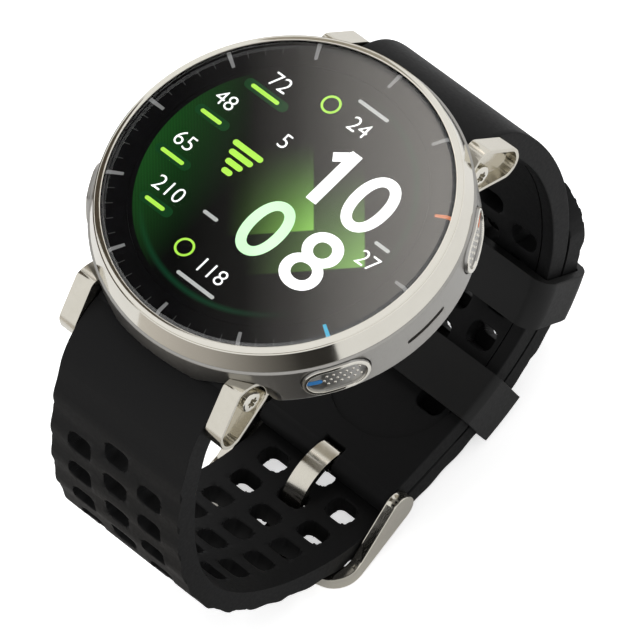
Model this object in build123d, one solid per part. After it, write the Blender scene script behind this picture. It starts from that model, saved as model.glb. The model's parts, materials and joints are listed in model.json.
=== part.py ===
from build123d import *
import os
from math import atan2, cos, degrees, hypot, pi, radians, sin, sqrt, tan

# A round sports watch on a buckled rubber strap, in millimetres and degrees.
# It is built with the dial axis on Z, the top of the glass at Z = 0, 12 o'clock at +Y and
# 3 o'clock at +X. Before export every piece moves by one shift, so that the origin is the
# middle of the bottom of the whole watch as it stands on its buckle.

# ---- fits ----
seam = 0.05             # line between pieces that are fixed together
running_fit = 0.05      # radial clearance round a pin or shaft that moves
side_gap = 0.25         # free space beside a piece that moves
strap_gap = 0.25        # between the two layers of strap

# ---- dial stack, from the top of the glass down ----
bezel_width = 2.15          # from the edge of the glass to the case's side
glass_thickness = 1.2
glass_bevel = 0.35
dial_ring_width = 3.1
dial_ring_thickness = 0.2
gasket_thickness = 0.15
gasket_width = 0.7
display_thickness = 0.8
mark_length = 2.15
mark_inner_width = 0.42
mark_outer_width = 0.56
mark_count = 12
orange_mark_angle = 30
blue_mark_angle = 330

# ---- bezel and case ----
case_radius = 23.85
case_height = 6.8
case_corner = 0.25
case_foot_radius = 0.8
bezel_height = 3.1
bezel_flat_width = 0.9
bezel_flat_drop = 0.35
spigot_depth = 1.0
spigot_inset = 0.3           # the spigot stands this far inside the edge of the glass
upper_wall = 3.85
lower_wall = 4.85
board_ledge = 0.8
frame_seat_depth = 2.0
board_seat_depth = 4.7

# ---- inside the case ----
frame_floor = 0.9
frame_wall = 0.9
frame_gap = 0.2
frame_shelf = 0.4
antenna_width = 0.9
antenna_height = 0.9
antenna_gap = 0.1
motor_bay = 3.9             # room beside the battery for the motor
battery_height = 3.1
board_thickness = 0.8
board_gap = 0.1
motor_radius = 1.1
motor_length = 8.0
speaker_depth = 4.0
speaker_width = 8.0
speaker_height = 1.6
speaker_gap = 0.8
mesh_thickness = 0.2
mesh_inset = 0.65
switch_depth = 1.6
switch_width = 2.6
switch_height = 2.0
switch_inset = 0.5
sensor_board_radius = 8.0
sensor_board_thickness = 0.8

# ---- case back ----
back_thickness = 1.3
back_margin = 1.65
back_edge_radius = 0.5
back_flat_gap = 0.8
back_spigot_height = 0.7
back_spigot_wall = 1.2
seal_thickness = 0.3
seal_width = 1.0
seal_inset = 0.3
seal_flat_inset = 0.1
window_radius = 8.4
window_seat = 0.9
window_rise = 0.8
contact_radius = 0.75
contact_spacing = 2.6
contact_count = 4
contact_inset = 4.7
back_screw_angle = 42.0
back_screw_inset = 1.4
back_screw_head_radius = 1.1
back_screw_head_height = 0.7
back_screw_shank_radius = 0.6
back_screw_length = 3.0

# ---- speaker slot and buttons ----
slot_length = 6.4
slot_width = 0.7
slot_depth_from_bezel = 3.6
button_angle = 31.0
button_drop = 2.98
button_length = 8.6
button_height = 5.2
button_proud = 0.45
button_pocket_depth = 1.55
button_travel = 0.4
button_stop_gap = 0.15
button_rim = 0.55
button_dish = 0.35
button_shaft_radius = 0.8
button_seal_width = 0.5
button_seal_length = 0.8
inlay_length = 2.2
inlay_height = 0.8
inlay_offset = 2.9
inlay_thickness = 0.7

# ---- lugs ----
lug_clearance = 0.1
lug_thickness = 2.7
lug_recess = 1.6
lug_rim = 0.5
lug_back = 2.6
lug_crest = 4.2
lug_crest_out = 1.8
lug_nose = 6.2
lug_drop = 4.2
lug_toe = 3.6
lug_sole = 1.0
lug_back_round = 3.8
lug_crest_round = 1.1
lug_nose_round = 2.0
lug_tip_round = 2.2
lug_toe_round = 1.5
lug_sole_round = 1.8
lug_face_angle = 47.8
pivot_inset = 3.45
pivot_rise = 0.9
screw_head_radius = 1.5
screw_head_height = 1.3
screw_shank_radius = 0.7
screw_reach = 3.2
tube_radius = 1.3

# ---- straps ----
strap_width = 22.0
eye_radius = 2.3
scoop_gap = 0.6
scoop_wall = 1.1
scoop_drop = 3.6
scoop_mouth_inset = 0.1
short_thickness = 3.1
long_thickness = 2.7
lug_end_thickness = 3.5
taper_length = 20.0
lug_dip = 4.0
lug_bend_radius = 10.4
lug_bend_sweep = 58.3
side_radius = 40.3
side_sweep = 41.2
upper_keeper_bend = 20.9
upper_keeper_sweep = 42.5
lower_keeper_bend = 31.8
lower_keeper_sweep = 28.8
buckle_run = 11.5
buckle_end_radius = 1.75
tail_tip_from_lug = 32.5
tail_end_to_bar = 1.0
tail_tip_radius = 9.0
under_bends = ((22.3, 10.4), (26.2, 19.5), (39.1, 26.3))
hole_pitch = 5.45
hole_width = 4.0
hole_length = 3.1
hole_corner = 1.2
hole_lead = 0.3             # the tongue leans this way as it lifts out of its hole
column_spacing = 6.0
ridge_height = 0.3
short_rows = 7
long_first_row = 16.5
long_panel_rows = 3
panel_depth = 0.25
panel_half_width = 9.0
panel_end_to_bar = 13.7
tongue_slot_gap = 0.15

# ---- keepers ----
keeper_length = 7.1
upper_keeper_wall = 1.5
lower_keeper_wall = 1.2
keeper_side_wall = 1.2
keeper_gap = 0.3
keeper_inner_corner = 0.25
upper_keeper_into_bend = 9.4
lower_keeper_into_bend = 9.7
lower_keeper_corner = 1.2
upper_keeper_corner = 2.6

# ---- buckle ----
bar_radius = 0.9
bar_tip_radius = 0.5
bar_tip_length = 1.0
arm_thickness = 1.6
arm_end_radius = 2.2
arm_top_slope = 32.4
arm_bottom_slope = 17.7
arm_knee_round = 2.5
arm_back_room = 6.0
frame_height = 2.3
frame_reach = 14.4
frame_front_width = 2.6
frame_bow = 2.4
frame_corner_radius = 4.0
frame_inner_corner_radius = 2.8
tongue_width = 3.1
tongue_thickness = 1.0
tongue_arch_radius = 6.5
tongue_arch_sweep = 93.64
tongue_start_heading = 160.5
tongue_reverse_radius = 1.6
tongue_knuckle_radius = 1.6
tongue_tip_inset = 0.6
tongue_sink = 0.1
notch_gap = 0.3
frame_swing_gap = 0.5

# ---- levels and radii that follow from the sizes above ----
glass_underside = -glass_thickness
dial_ring_underside = glass_underside - dial_ring_thickness
bezel_seat = dial_ring_underside - gasket_thickness
display_underside = glass_underside - display_thickness
case_top = -bezel_height
spigot_end = case_top - spigot_depth
frame_seat = case_top - frame_seat_depth
board_seat = case_top - board_seat_depth
board_top = board_seat + board_thickness
case_bottom = case_top - case_height
back_bottom = case_bottom - back_thickness
slot_level = case_top - slot_depth_from_bezel
button_level = case_top - button_drop

glass_radius = case_radius - bezel_width
dial_ring_inner_radius = glass_radius - dial_ring_width
mark_inner_radius = glass_radius - mark_length
glass_pocket_radius = glass_radius + seam
bezel_bore_radius = glass_radius - gasket_width - seam
spigot_radius = glass_radius - spigot_inset
upper_bore_radius = case_radius - upper_wall
lower_bore_radius = case_radius - lower_wall
back_radius = case_radius - back_margin
button_face_radius = case_radius + button_proud
button_floor_radius = case_radius - button_pocket_depth
switch_face_radius = lower_bore_radius - switch_inset
speaker_front = lower_bore_radius - speaker_gap
frame_outer_radius = upper_bore_radius - frame_gap
frame_shelf_top = display_underside - antenna_height - antenna_gap

pivot_y = case_radius - pivot_inset
pivot_z = case_bottom + pivot_rise
scoop_radius = eye_radius + scoop_gap
lower_flat = pivot_y - scoop_radius - scoop_wall
back_flat = pivot_y - eye_radius - back_flat_gap
battery_radius = lower_flat - motor_bay
contact_offset = back_flat - contact_inset
lug_face_x = strap_width / 2 + lug_clearance
lug_outer_x = lug_face_x + lug_thickness
lug_web_x = lug_outer_x - lug_recess
layer_offset = short_thickness / 2 + strap_gap + long_thickness / 2


# ---- helpers: turned and cut shapes ----
def turned(outline):
    """Turn a closed (radius, height) outline about the dial axis."""
    return revolve(make_face(Polyline([(r, 0, z) for r, z in outline], close=True)), Axis.Z)


def ring(outer, inner, top, bottom):
    return turned([(inner, bottom), (outer, bottom), (outer, top), (inner, top)])


def disc(radius, top, bottom):
    return Pos(0, 0, bottom) * extrude(Circle(radius), top - bottom)


def flattened(radius, flat, top, bottom):
    """A round plate or pocket with straight sides towards 6 and 12 o'clock."""
    outline = Circle(radius) & Rectangle(2 * radius, 2 * flat)
    return Pos(0, 0, bottom) * extrude(outline, top - bottom)


def block(x_range, y_range, z_range):
    """A box between three pairs of limits."""
    middle = [(low + high) / 2 for low, high in (x_range, y_range, z_range)]
    sides = [high - low for low, high in (x_range, y_range, z_range)]
    return Pos(*middle) * Box(*sides)


def facing(angle, level):
    """A plane on the dial axis that looks out at one angle, with local Y up."""
    outward = (cos(radians(angle)), sin(radians(angle)), 0)
    along = (-sin(radians(angle)), cos(radians(angle)), 0)
    return Plane(origin=(0, 0, level), x_dir=along, z_dir=outward)


def radial(angle, level, sketch, near, far):
    """A prism of a sketch between two distances from the dial axis."""
    return extrude(facing(angle, level).offset(near) * sketch, far - near)


def across(outline, half_width):
    """A prism along X of a closed wire in the YZ plane, centred on X = 0."""
    return Pos(-half_width, 0, 0) * extrude(Face(outline), 2 * half_width, dir=(1, 0, 0))


def rod(y, z, radius, x_from, x_to):
    """A round bar along X."""
    end = Plane(origin=(x_from, y, z), x_dir=(0, 1, 0), z_dir=(1, 0, 0))
    return extrude(end * Circle(radius), x_to - x_from)


# ---- helpers: the curved line that a strap follows in the YZ plane ----
class Path:
    """Tangent arcs and straights. Bends turn towards the wrist, and the left side faces outwards."""

    def __init__(self, start, heading):
        self.runs = []
        self.tip = start
        self.heading = heading
        self.length = 0.0
        self.tail_length = 0.0

    def run(self, length, curvature):
        self.runs.append((self.length, self.tip, self.heading, curvature))
        self.length += length
        self.tip, self.heading = self.at(self.length)
        return self

    def line(self, length):
        return self.run(length, 0.0)

    def bend(self, radius, sweep):
        return self.run(radius * radians(abs(sweep)), -1 / radius if sweep > 0 else 1 / radius)

    def arc_to(self, target):
        """An arc that leaves along the heading and ends on the target."""
        dy, dz = target[0] - self.tip[0], target[1] - self.tip[1]
        turn = radians((degrees(atan2(dz, dy)) - self.heading + 180) % 360 - 180)
        curvature = 2 * sin(turn) / hypot(dy, dz)
        return self.run(2 * turn / curvature, curvature)

    def join(self, target, heading):
        """Two arcs that meet a point and a heading."""
        first, last = radians(self.heading), radians(heading)
        dy, dz = target[0] - self.tip[0], target[1] - self.tip[1]
        a = 2 * (1 - cos(last - first))
        b = dy * (cos(first) + cos(last)) + dz * (sin(first) + sin(last))
        reach = (sqrt(b * b + a * (dy * dy + dz * dz)) - b) / a
        middle_y = (self.tip[0] + target[0] + reach * (cos(first) - cos(last))) / 2
        middle_z = (self.tip[1] + target[1] + reach * (sin(first) - sin(last))) / 2
        return self.arc_to((middle_y, middle_z)).arc_to(target)

    def at(self, s):
        """The point and the heading at a distance along the path."""
        start, (y, z), heading, curvature = [run for run in self.runs if run[0] <= max(s, 0)][-1]
        run = s - start
        if curvature == 0:
            return (y + run * cos(radians(heading)), z + run * sin(radians(heading))), heading
        turned_to = heading + degrees(curvature * run)
        across_y = (sin(radians(turned_to)) - sin(radians(heading))) / curvature
        across_z = (cos(radians(heading)) - cos(radians(turned_to))) / curvature
        return (y + across_y, z + across_z), turned_to

    def beside(self, s, offset):
        """A point that lies outwards of the path by the offset."""
        (y, z), heading = self.at(s)
        return (0, y - offset * sin(radians(heading)), z + offset * cos(radians(heading)))

    def plane(self, s, offset=0.0):
        """A plane on the path: local X across the strap, local Y along it, local Z outwards."""
        heading = radians(self.at(s)[1])
        return Plane(origin=self.beside(s, offset), x_dir=(1, 0, 0), z_dir=(0, -sin(heading), cos(heading)))

    def meets_circle(self, centre, radius, begin, finish):
        """The distance along the path, between two limits, at which it crosses a circle."""
        def miss(s):
            y, z = self.at(s)[0]
            return abs(hypot(y - centre[0], z - centre[1]) - radius)

        return min([begin + (finish - begin) * n / 2000 for n in range(2001)], key=miss)


def ribbon(path, start, end, inner, outer, spacing):
    """A closed outline between two offset laws along a path."""
    count = max(2, round((end - start) / spacing))
    places = [start + (end - start) * n / count for n in range(count + 1)]
    outer_points = [path.beside(s, outer(s)) for s in places]
    inner_points = [path.beside(s, inner(s)) for s in places]
    end_cap = Edge.make_line(outer_points[-1], inner_points[-1])
    start_cap = Edge.make_line(inner_points[0], outer_points[0])
    return Wire([Edge.make_spline(outer_points), end_cap, Edge.make_spline(inner_points), start_cap])


def short_strap_path():
    path = Path((pivot_y, pivot_z), -lug_dip)
    path.bend(lug_bend_radius, lug_bend_sweep).bend(side_radius, side_sweep)
    path.bend(upper_keeper_bend, upper_keeper_sweep).bend(lower_keeper_bend, lower_keeper_sweep)
    return path.line(buckle_run)


def long_strap_path(short):
    """From the tail's tip, outside the short strap, round below and up to the 6 o'clock lugs."""
    tail_end = short.length - tail_end_to_bar
    point, heading = short.at(tail_tip_from_lug)
    path = Path(short.beside(tail_tip_from_lug, layer_offset)[1:], heading)
    breaks = [tail_tip_from_lug] + [run[0] for run in short.runs if tail_tip_from_lug < run[0] < tail_end]
    for begin, finish in zip(breaks, breaks[1:] + [tail_end]):
        curvature = [run for run in short.runs if run[0] <= begin][-1][3]
        stretch = 1 - curvature * layer_offset
        path.run((finish - begin) * stretch, curvature / stretch)
    path.tail_length = path.length
    for radius, sweep in under_bends:
        path.bend(radius, sweep)
    last = Path((-pivot_y, pivot_z), lug_dip - 180)
    last.bend(lug_bend_radius, -lug_bend_sweep)
    return path.join(last.tip, last.heading - 180).bend(lug_bend_radius, lug_bend_sweep)


def tongue_curve(front_y):
    """From the spring bar over an arch, through the long strap and flat along the front bar's notch."""
    lift = tongue_knuckle_radius - tongue_thickness / 2
    heading = radians(tongue_start_heading)
    path = Path((bar_y + lift * sin(heading), bar_z - lift * cos(heading)), tongue_start_heading)
    path.bend(tongue_arch_radius, -tongue_arch_sweep)
    path.bend(tongue_reverse_radius, path.heading - 180)
    return path.line(path.tip[0] - front_y - tongue_tip_inset)


def tongue_hole_place():
    """How far along the long strap the arch of the tongue goes through it."""
    centre = tongue_path.beside(0, tongue_arch_radius)[1:]
    begin = long_path.tail_length
    return long_path.meets_circle(centre, tongue_arch_radius, begin, begin + 3 * tongue_arch_radius)


short_path = short_strap_path()
long_path = long_strap_path(short_path)
bar_y, bar_z = short_path.tip
upper_keeper_place = short_path.runs[2][0] + upper_keeper_into_bend
lower_keeper_place = short_path.runs[3][0] + lower_keeper_into_bend
frame_front_y = bar_y - frame_reach
tongue_path = tongue_curve(frame_front_y)
frame_bottom = tongue_path.tip[1] - tongue_thickness / 2 - tongue_sink
frame_top = frame_bottom + frame_height


# ---- dial and bezel ----
def make_glass():
    rim = glass_radius - glass_bevel
    return turned([(0, glass_underside), (glass_radius, glass_underside), (glass_radius, -glass_bevel),
                   (rim, 0), (0, 0)])


def hour_mark(angle):
    """A flat mark that widens outwards, let into the dial ring."""
    half_in = mark_inner_width / 2
    half_out = mark_outer_width / 2
    outline = Polygon((mark_inner_radius, -half_in), (glass_radius, -half_out), (glass_radius, half_out),
                      (mark_inner_radius, half_in), align=None)
    bar = Pos(0, 0, dial_ring_underside) * Rot(0, 0, angle) * extrude(outline, dial_ring_thickness)
    return bar & disc(glass_radius, glass_underside, dial_ring_underside)


def make_hour_marks():
    step = 360 / mark_count
    return {round(n * step): hour_mark(n * step) for n in range(mark_count)}


def make_dial_ring(marks):
    body = ring(glass_radius, dial_ring_inner_radius, glass_underside, dial_ring_underside)
    return body - list(marks.values())


def make_bezel():
    flat_radius = glass_pocket_radius + bezel_flat_width
    foot_radius = case_radius - case_corner
    spigot_inner = bezel_bore_radius
    return turned([(glass_pocket_radius, 0), (flat_radius, -bezel_flat_drop), (foot_radius, case_top),
                   (spigot_radius, case_top), (spigot_radius, spigot_end), (spigot_inner, spigot_end),
                   (spigot_inner, bezel_seat), (glass_pocket_radius, bezel_seat)])


def make_inner_frame():
    """A tray under the display with a skirt that stands on the case's step and a shelf for the antenna."""
    outer = frame_outer_radius
    shelf_bottom = frame_shelf_top - frame_shelf
    floor = display_underside - frame_floor
    return turned([(0, display_underside), (outer, display_underside), (outer, frame_shelf_top),
                   (outer + antenna_width, frame_shelf_top), (outer + antenna_width, shelf_bottom),
                   (outer, shelf_bottom), (outer, frame_seat), (outer - frame_wall, frame_seat),
                   (outer - frame_wall, floor), (0, floor)])


def make_antenna():
    inner = frame_outer_radius + seam
    return ring(inner + antenna_width - seam, inner, frame_shelf_top + antenna_height, frame_shelf_top)


# ---- case ----
def case_blank():
    """The turned case with a small top chamfer and a rounded foot."""
    foot = case_radius - case_foot_radius
    foot_top = case_bottom + case_foot_radius
    side = Polyline((0, 0, case_bottom), (0, 0, case_top), (case_radius - case_corner, 0, case_top),
                    (case_radius, 0, case_top - case_corner), (case_radius, 0, foot_top))
    bulge = case_foot_radius * cos(radians(45))
    corner = ThreePointArc((case_radius, 0, foot_top), (foot + bulge, 0, foot_top - bulge),
                           (foot, 0, case_bottom))
    base = Line((foot, 0, case_bottom), (0, 0, case_bottom))
    return revolve(make_face(side + corner + base), Axis.Z)


def case_cavity():
    """Bores that step inwards from the bezel down to the case back."""
    spigot_bore = disc(spigot_radius + seam, case_top, spigot_end)
    upper_bore = disc(upper_bore_radius, spigot_end, frame_seat)
    lower_bore = flattened(lower_bore_radius, lower_flat, frame_seat, board_seat)
    opening = flattened(lower_bore_radius - board_ledge, lower_flat - board_ledge, board_seat, case_bottom)
    return [spigot_bore, upper_bore, lower_bore, opening]


def strap_scoop(side):
    """The hollow between two lugs: a round channel about the strap's eye and a slanted mouth."""
    mouth_y = side * (case_radius - scoop_mouth_inset)
    mouth_z = case_top - scoop_drop
    below = case_bottom - back_thickness
    slope = tan(radians(lug_face_angle))
    inner_y = mouth_y - side * (mouth_z - below) / slope
    corners = [(0, mouth_y, mouth_z), (0, inner_y, below), (0, 2 * mouth_y, below),
               (0, 2 * mouth_y, mouth_z + abs(mouth_y) * slope)]
    mouth = across(Wire.make_polygon(corners, close=True), lug_face_x)
    return [mouth, rod(side * pivot_y, pivot_z, scoop_radius, -lug_face_x, lug_face_x)]


def button_outline(grow=0.0):
    return SlotOverall(button_length + 2 * grow, button_height + 2 * grow)


def button_cuts(angle):
    """A pocket for the button's head, a bore for its shaft and a groove for the seal."""
    pocket = radial(angle, button_level, button_outline(side_gap / 2), button_floor_radius, case_radius + 1)
    bore = radial(angle, button_level, Circle(button_shaft_radius + running_fit),
                  lower_bore_radius - 1, button_floor_radius)
    return [pocket, bore, button_seal_space(angle)]


def button_seal_space(angle):
    near = (lower_bore_radius + button_floor_radius - button_seal_length) / 2
    outer = button_shaft_radius + running_fit + button_seal_width
    return radial(angle, button_level, Circle(outer), near, near + button_seal_length)


def back_screw_places():
    radius = back_radius - back_screw_inset
    angles = (back_screw_angle, 180 - back_screw_angle, 180 + back_screw_angle, -back_screw_angle)
    return [(radius * cos(radians(a)), radius * sin(radians(a))) for a in angles]


def make_back_screws():
    head = disc(back_screw_head_radius, back_bottom + back_screw_head_height, back_bottom)
    screw = head + disc(back_screw_shank_radius, back_bottom + back_screw_length, back_bottom)
    return [Pos(x, y, 0) * screw for x, y in back_screw_places()]


def speaker_slot(gap, near, far):
    """The sound slot at 3 o'clock, or what fills it, between two distances from the dial axis."""
    return radial(0, slot_level, SlotOverall(slot_length - 2 * gap, slot_width - 2 * gap), near, far)


def make_mid_case(lug_pockets):
    slot = speaker_slot(0, speaker_front, case_radius + 1)
    cuts = case_cavity() + strap_scoop(1) + strap_scoop(-1) + lug_pockets + [slot]
    for angle in button_angles.values():
        cuts += button_cuts(angle)
    screw_hole = disc(back_screw_shank_radius, back_bottom + back_screw_length, case_bottom)
    cuts += [Pos(x, y, 0) * screw_hole for x, y in back_screw_places()]
    return case_blank() - cuts


# ---- inside the case ----
def make_battery():
    top = display_underside - frame_floor
    return disc(battery_radius, top, top - battery_height)


def make_main_board():
    return flattened(lower_bore_radius - board_gap, lower_flat - board_gap, board_top, board_seat)


def make_motor():
    y = (battery_radius + lower_flat) / 2
    return rod(y, board_top + motor_radius, motor_radius, -motor_length / 2, motor_length / 2)


def make_speaker():
    half = speaker_width / 2
    back = speaker_front - speaker_depth
    return block((back, speaker_front), (-half, half), (board_top, board_top + speaker_height))


def make_port_mesh():
    """A curved strip of mesh that closes the sound slot just below the side of the case."""
    face = case_radius - mesh_inset
    strip = speaker_slot(seam, speaker_front, case_radius)
    return strip & ring(face, face - mesh_thickness, case_top, case_bottom)


def make_switch(angle):
    outline = Pos(0, board_top - button_level + switch_height / 2) * Rectangle(switch_width, switch_height)
    return radial(angle, button_level, outline, switch_face_radius - switch_depth, switch_face_radius)


# ---- case back ----
def make_case_back():
    plate = flattened(back_radius, back_flat, case_bottom, back_bottom)
    plate = fillet(plate.edges().group_by(Axis.Z)[0], back_edge_radius)
    outer = lower_bore_radius - board_ledge - seam
    flat = lower_flat - board_ledge - seam
    top = case_bottom + back_spigot_height
    spigot = flattened(outer, flat, top, case_bottom)
    spigot -= flattened(outer - back_spigot_wall, flat - back_spigot_wall, top, case_bottom)
    cuts = [make_seal(), disc(window_radius, case_bottom, back_bottom)]
    cuts += make_back_screws() + make_contacts()
    return plate + spigot - cuts


def make_seal():
    inner_radius = lower_bore_radius - board_ledge + seal_inset
    inner_flat = lower_flat - board_ledge + seal_flat_inset
    top = case_bottom
    bottom = case_bottom - seal_thickness
    outline = flattened(inner_radius + seal_width, inner_flat + seal_width, top, bottom)
    return outline - flattened(inner_radius, inner_flat, top, bottom)


def make_window():
    """A shallow dome over the pulse sensor."""
    seat = back_bottom + window_seat
    side = Polyline((0, 0, back_bottom - window_rise), (0, 0, seat), (window_radius, 0, seat),
                    (window_radius, 0, back_bottom))
    sphere = (window_radius ** 2 + window_rise ** 2) / (2 * window_rise)
    half_way = window_radius / 2
    middle_z = back_bottom - window_rise + sphere - sqrt(sphere ** 2 - half_way ** 2)
    dome = ThreePointArc((window_radius, 0, back_bottom), (half_way, 0, middle_z),
                         (0, 0, back_bottom - window_rise))
    return revolve(make_face(side + dome), Axis.Z)


def make_contacts():
    first = -contact_spacing * (contact_count - 1) / 2
    places = [first + contact_spacing * n for n in range(contact_count)]
    return [Pos(x, -contact_offset, 0) * disc(contact_radius, case_bottom, back_bottom) for x in places]


# ---- buttons ----
button_angles = {"button_2": button_angle, "button_4": -button_angle,
                 "button_8": 180 + button_angle, "button_10": 180 - button_angle}
inlay_sides = {"button_2": 1, "button_4": -1}


def around_axis(radius):
    """A tall cylinder about the dial axis, to trim curved faces to."""
    return disc(radius, button_level + button_height, button_level - button_height)


def make_button(angle):
    """A stadium head with a curved, dished face and a shaft that reaches the switch."""
    back = button_floor_radius + button_travel + button_stop_gap
    far = button_face_radius + 1
    head = radial(angle, button_level, button_outline(), back, far) & around_axis(button_face_radius)
    dish = radial(angle, button_level, button_outline(-button_rim), button_floor_radius, far)
    dish -= around_axis(button_face_radius - button_dish)
    shaft_end = switch_face_radius + button_travel + seam
    shaft = radial(angle, button_level, Circle(button_shaft_radius), shaft_end, back)
    return head - dish + shaft


def make_inlay(angle, side):
    """A coloured bar let into the dish near one end of the button."""
    face = button_face_radius - button_dish
    outline = Pos(side * inlay_offset, 0) * SlotOverall(inlay_length, inlay_height)
    return radial(angle, button_level, outline, face - inlay_thickness, face + 1) & around_axis(face)


def make_button_seal(angle):
    shaft_space = radial(angle, button_level, Circle(button_shaft_radius + running_fit),
                         lower_bore_radius - 1, button_floor_radius)
    return button_seal_space(angle) - shaft_space


# ---- lugs and the screws that hold the strap ----
def lug_outline(side):
    """The lug seen from the side: a drop with a wide round about the screw and a small one at the nose."""
    nose_top = lug_crest - (lug_nose - lug_crest_out) * tan(radians(lug_face_angle))
    corners = [(-lug_back, -lug_sole), (-lug_back, lug_crest), (lug_crest_out, lug_crest),
               (lug_nose, nose_top), (lug_nose, -lug_drop), (lug_toe, -lug_drop)]
    radii = [lug_sole_round, lug_back_round, lug_crest_round, lug_nose_round, lug_tip_round, lug_toe_round]
    outline = FilletPolyline(*corners, radius=radii, close=True)
    on_side = Plane(origin=(0, side * pivot_y, pivot_z), x_dir=(0, side, 0), z_dir=(side, 0, 0))
    return on_side * make_face(outline)


def lug_prism(side, hand, grow, x_from, x_to):
    """The lug's outline, grown or shrunk, between two distances from the middle of the watch."""
    outline = lug_outline(side)
    if grow:
        outline = offset(outline, grow)
    return Pos(hand * x_from, 0, 0) * extrude(outline, x_to - x_from, dir=(hand, 0, 0))


def make_lug(side, hand):
    """A lug with an open recess in its outer face and a hole for the strap screw."""
    y, inside, outside = side * pivot_y, hand * lug_face_x, hand * lug_outer_x
    body = lug_prism(side, hand, 0, lug_face_x, lug_outer_x)
    recess = lug_prism(side, hand, -lug_rim, lug_web_x, lug_outer_x + 1)
    hole = rod(y, pivot_z, screw_shank_radius + seam, inside, outside)
    head_space = rod(y, pivot_z, screw_head_radius + seam, hand * lug_web_x, outside)
    return body - [recess, hole, head_space]


def make_lug_screw(side, hand):
    y, web = side * pivot_y, hand * lug_web_x
    head = rod(y, pivot_z, screw_head_radius, web, web + hand * screw_head_height)
    return head + rod(y, pivot_z, screw_shank_radius, web - hand * screw_reach, web)


def make_strap_tube(side):
    """A metal sleeve through the strap's eye, threaded at both ends for the lug screws."""
    outer = rod(side * pivot_y, pivot_z, tube_radius, -strap_width / 2, strap_width / 2)
    return outer - rod(side * pivot_y, pivot_z, screw_shank_radius, -strap_width, strap_width)


# ---- straps ----
def taper(from_lug, thin):
    """Strap thickness: thick at the lug, easing to its plain thickness."""
    share = min(max(from_lug, 0) / taper_length, 1)
    return thin + (lug_end_thickness - thin) * (1 + cos(pi * share)) / 2


def strap_hole(path, s, x):
    """A rounded hole square to the strap, wider across than along."""
    outline = Pos(x, 0) * RectangleRounded(hole_width, hole_length, hole_corner)
    return extrude(path.plane(s, -short_thickness) * outline, 2 * short_thickness)


def staggered_holes(path, middle_places, side_places):
    """Three columns of holes, the outer two half a pitch away from the middle one."""
    holes = [strap_hole(path, s, 0) for s in middle_places]
    for x in (-column_spacing, column_spacing):
        holes += [strap_hole(path, s, x) for s in side_places]
    return holes


def inner_panel(path, start, end, thickness):
    """A shallow recess in the face that lies on the wrist."""
    inner = -thickness / 2
    outline = ribbon(path, start, end, lambda s: inner - 1, lambda s: inner + panel_depth, hole_pitch)
    return across(outline, panel_half_width)


def make_short_strap():
    """The 12 o'clock strap, from its eye in the lugs to its eye round the buckle bar."""
    def outer(s):
        return taper(s, short_thickness) / 2

    end = short_path.length
    body = across(ribbon(short_path, 0, end, lambda s: -outer(s), outer, hole_pitch / 2), strap_width / 2)
    body += rod(pivot_y, pivot_z, eye_radius, -strap_width / 2, strap_width / 2)
    body += rod(bar_y, bar_z, buckle_end_radius, -strap_width / 2, strap_width / 2)
    last_hole = end - panel_end_to_bar
    side_places = [last_hole - hole_pitch * n for n in range(short_rows - 1)]
    middle_places = [s - hole_pitch / 2 for s in side_places]
    panel_round = extrude(short_path.plane(last_hole, -short_thickness) * Circle(panel_half_width),
                          short_thickness)
    panel = inner_panel(short_path, taper_length, last_hole, short_thickness)
    panel_tip = inner_panel(short_path, last_hole, last_hole + panel_half_width, short_thickness)
    panel_end = panel_tip & panel_round
    slot_start = short_path.plane(end - tongue_knuckle_radius - tongue_slot_gap, -2 * short_thickness)
    slot = Rectangle(tongue_width + 2 * tongue_slot_gap, strap_width, align=(Align.CENTER, Align.MIN))
    tongue_slot = extrude(slot_start * slot, 4 * short_thickness)
    holes = staggered_holes(short_path, middle_places, side_places)
    eye_bore = rod(pivot_y, pivot_z, tube_radius, -strap_width, strap_width)
    bar_bore = rod(bar_y, bar_z, bar_radius, -strap_width, strap_width)
    return body - [panel, panel_end, tongue_slot, eye_bore, bar_bore] - holes


def make_long_strap():
    """The 6 o'clock strap: it passes the buckle, lies outside the short strap and ends in a rounded tip."""
    end = long_path.length
    tongue_row = tongue_hole_place() - hole_lead
    rows_down = int((tongue_row - 2 * hole_pitch) / hole_pitch)
    rows_up = int((end - long_first_row - tongue_row) / hole_pitch)
    rows = [tongue_row + hole_pitch * n for n in range(-rows_down, rows_up + 1)]
    first, last = rows[0] - hole_pitch, rows[-1] + hole_pitch

    def outer(s):
        ridge = ridge_height * (1 - cos(2 * pi * (s - first) / hole_pitch)) / 2
        return taper(end - s, long_thickness) / 2 + (ridge if first < s < last else 0)

    body = across(ribbon(long_path, 0, end, lambda s: -taper(end - s, long_thickness) / 2, outer,
                         hole_pitch / 4), strap_width / 2)
    body += rod(-pivot_y, pivot_z, eye_radius, -strap_width / 2, strap_width / 2)
    panel = inner_panel(long_path, rows[-1 - long_panel_rows], last, long_thickness)
    eye_bore = rod(-pivot_y, pivot_z, tube_radius, -strap_width, strap_width)
    side_places = [s - hole_pitch / 2 for s in rows]
    return body - [tip_corners(), eye_bore] - staggered_holes(long_path, rows, side_places)


def tip_corners():
    """What is cut away to round the two corners of the tail's tip."""
    plane = long_path.plane(tail_tip_radius, -3 * long_thickness)
    half = strap_width / 2
    square = Pos(0, -tail_tip_radius) * Rectangle(2 * strap_width, 2 * tail_tip_radius)
    tip = Pos(0, tail_tip_radius / 2) * Rectangle(strap_width, 3 * tail_tip_radius)
    rounded = fillet(tip.vertices().group_by(Axis.Y)[0], tail_tip_radius)
    return extrude(plane * (square - rounded), 6 * long_thickness)


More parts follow.
